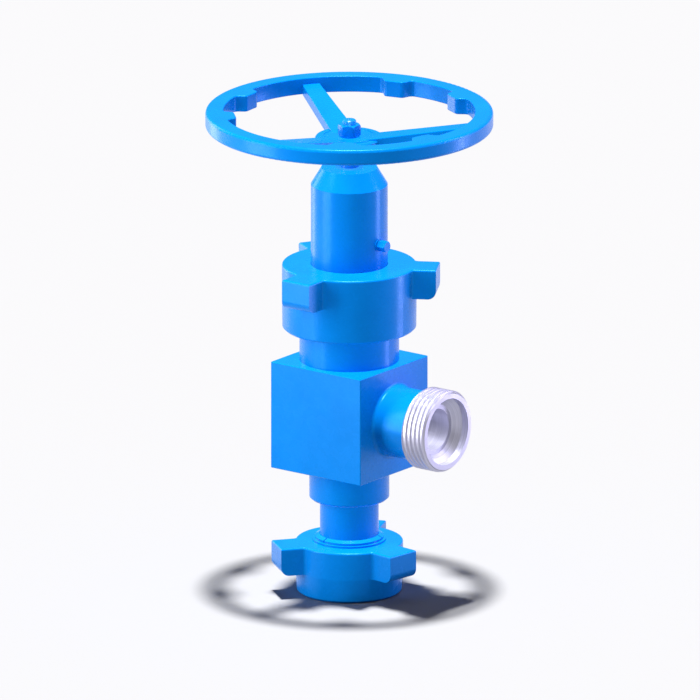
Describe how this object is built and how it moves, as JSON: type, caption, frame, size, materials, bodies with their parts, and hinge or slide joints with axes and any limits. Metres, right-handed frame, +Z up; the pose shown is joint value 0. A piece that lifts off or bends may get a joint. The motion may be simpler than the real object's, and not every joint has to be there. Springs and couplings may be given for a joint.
{
  "type": "angle needle valve",
  "caption": "Angle needle valve with a threaded female hammer-union inlet, a wing-nut union outlet, a bonnet under a wing nut and a spoked handwheel on a rising stem.",
  "frame": {"origin": "on the stem axis, in the plane of the outlet wing nut's lower face", "axes": "+Z up the stem, +X along the inlet, pointing out of its mouth"},
  "size_m": [0.3458, 0.3458, 0.5975],
  "materials": {
    "blue_enamel": "gloss",
    "machined_steel": "machined",
    "stem_steel": "ground",
    "carbide": "ground",
    "bronze": "machined",
    "packing": "matt",
    "rubber": "matt"
  },
  "bodies": {
    "root": {"valve_body": "blue_enamel", "inlet_thread_sub": "machined_steel", "outlet_male_sub": "blue_enamel", "seat": "carbide", "seat_seal_ring": "rubber"},
    "union_carrier": {"nut_segment_1": "blue_enamel", "nut_segment_2": "blue_enamel", "nut_segment_3": "blue_enamel", "segment_snap_ring": "blue_enamel"},
    "outlet_nut": {"outlet_wing_nut": "blue_enamel"},
    "bonnet_unit": {"bonnet": "blue_enamel", "bonnet_seal_ring": "rubber", "bonnet_backup_ring": "packing", "packing_gland": "machined_steel", "packing_ring_1": "packing", "packing_ring_2": "packing", "packing_ring_3": "packing", "packing_header": "bronze", "stem_nut": "bronze", "stem_nut_lock_ring": "machined_steel", "bonnet_cap": "blue_enamel", "wiper_ring": "rubber"},
    "bonnet_nut": {"bonnet_wing_nut": "blue_enamel"},
    "needle_unit": {"needle_tip": "carbide", "needle_holder": "machined_steel", "needle_lock_ring": "machined_steel"},
    "stem_unit": {"stem": "stem_steel", "wheel_key": "machined_steel", "handwheel": "blue_enamel", "wheel_washer": "blue_enamel", "wheel_nut": "blue_enamel"},
    "bleed_washer": {"bleed_plug_washer": "blue_enamel"},
    "bleed_plug": {"bleed_plug": "blue_enamel"}
  },
  "joints": [
    {"name": "bonnet_lift", "type": "slide", "parent": "root", "child": "bonnet_unit", "axis": [0, 0, 1], "range_m": [0, 0.034]},
    {"name": "bonnet_nut_turn", "type": "hinge", "parent": "bonnet_unit", "child": "bonnet_nut", "pos_m": [0, 0, 0.3678], "axis": [0, 0, 1], "range_deg": [0, 1440]},
    {"name": "stem_lift", "type": "slide", "parent": "bonnet_unit", "child": "needle_unit", "axis": [0, 0, 1], "range_m": [0, 0.0451]},
    {"name": "handwheel_turn", "type": "hinge", "parent": "needle_unit", "child": "stem_unit", "pos_m": [0, 0, 0.566], "axis": [0, 0, 1], "range_deg": [0, 2700]},
    {"name": "union_nut_slide", "type": "slide", "parent": "root", "child": "union_carrier", "axis": [0, 0, 1], "range_m": [0, 0.044]},
    {"name": "union_nut_spin", "type": "hinge", "parent": "union_carrier", "child": "outlet_nut", "pos_m": [0, 0, 0.03], "axis": [0, 0, 1], "continuous": true},
    {"name": "bleed_washer_slide", "type": "slide", "parent": "bonnet_unit", "child": "bleed_washer", "axis": [1, 0, 0], "range_m": [0, 0.0026]},
    {"name": "bleed_plug_turn", "type": "hinge", "parent": "bleed_washer", "child": "bleed_plug", "pos_m": [0.05, 0, 0.437], "axis": [1, 0, 0], "range_deg": [0, 720]}
  ],
  "couplings": [
    {"joint": "stem_lift", "follows": "handwheel_turn", "m_per_rad": 0.00095493},
    {"joint": "bonnet_lift", "follows": "bonnet_nut_turn", "m_per_rad": 0.0013475},
    {"joint": "bleed_washer_slide", "follows": "bleed_plug_turn", "m_per_rad": 0.00019894}
  ]
}
